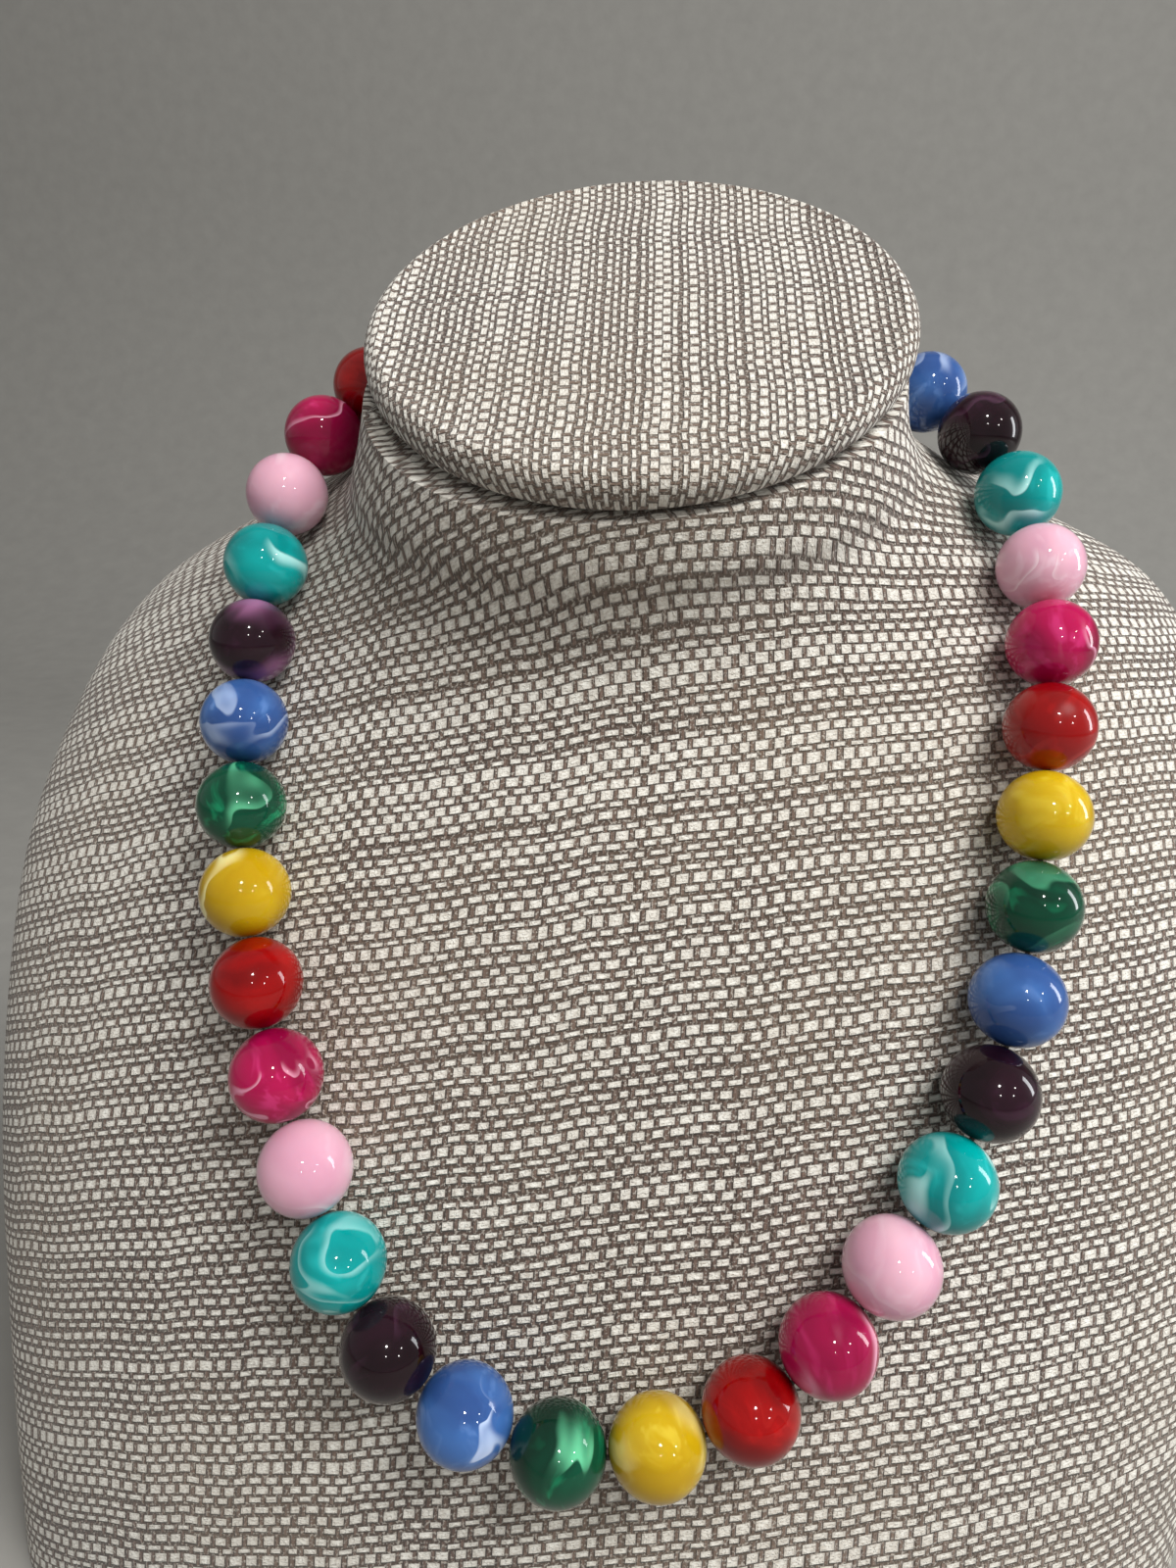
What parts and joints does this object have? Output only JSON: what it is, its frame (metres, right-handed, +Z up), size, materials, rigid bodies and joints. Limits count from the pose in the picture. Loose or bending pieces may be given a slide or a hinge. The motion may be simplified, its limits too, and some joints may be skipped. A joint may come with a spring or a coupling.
{
  "type": "beaded necklace on a neck bust",
  "caption": "Single-strand necklace of large marbled round beads, worn on a linen-covered display bust with a slanted round cap on its neck and a flat base.",
  "frame": {"origin": "on the ground, under the middle of the whole object's box", "axes": "+Z up, -Y the side that the bust faces, +X to the right of a viewer who faces the bust"},
  "size_m": [0.302, 0.179, 0.3138],
  "materials": {
    "bead_red": "polished cloudy resin",
    "bead_magenta": "polished marbled resin with pale streaks",
    "bead_pink": "polished pearly resin with a white line",
    "bead_teal": "polished marbled resin with pale cyan streaks",
    "bead_purple": "polished dark resin with an orchid swirl",
    "bead_blue": "polished marbled resin with pale loops",
    "bead_green": "polished malachite-like resin",
    "bead_yellow": "polished cloudy amber resin",
    "linen": "coarse plain weave of cream yarns over taupe yarns",
    "gilt": "polished gilt metal",
    "cord": "waxed dark cotton"
  },
  "bodies": {
    "root": {"bead_01": "bead_purple", "bead_02": "bead_blue", "bead_03": "bead_green", "bead_04": "bead_yellow", "bead_05": "bead_red", "bead_06": "bead_magenta", "bead_07": "bead_pink", "bead_08": "bead_teal", "bead_09": "bead_purple", "bead_10": "bead_blue", "bead_11": "bead_green", "bead_12": "bead_yellow", "bead_13": "bead_red", "bead_14": "bead_magenta", "bead_15": "bead_pink", "bead_16": "bead_teal", "bead_17": "bead_purple", "bead_18": "bead_blue", "bead_19": "bead_green", "bead_20": "bead_yellow", "bead_21": "bead_red", "bead_22": "bead_magenta", "bead_23": "bead_pink", "bead_24": "bead_teal", "bead_25": "bead_purple", "bead_26": "bead_blue", "bead_27": "bead_green", "bead_28": "bead_yellow", "bead_29": "bead_red", "bead_30": "bead_magenta", "bead_31": "bead_pink", "bead_32": "bead_teal", "bead_33": "bead_purple", "bead_34": "bead_blue", "bead_35": "bead_green", "bead_36": "bead_yellow", "bead_37": "bead_red", "thread": "cord", "clasp": "gilt", "bust_form": "linen", "neck_cap": "linen"}
  },
  "joints": []
}
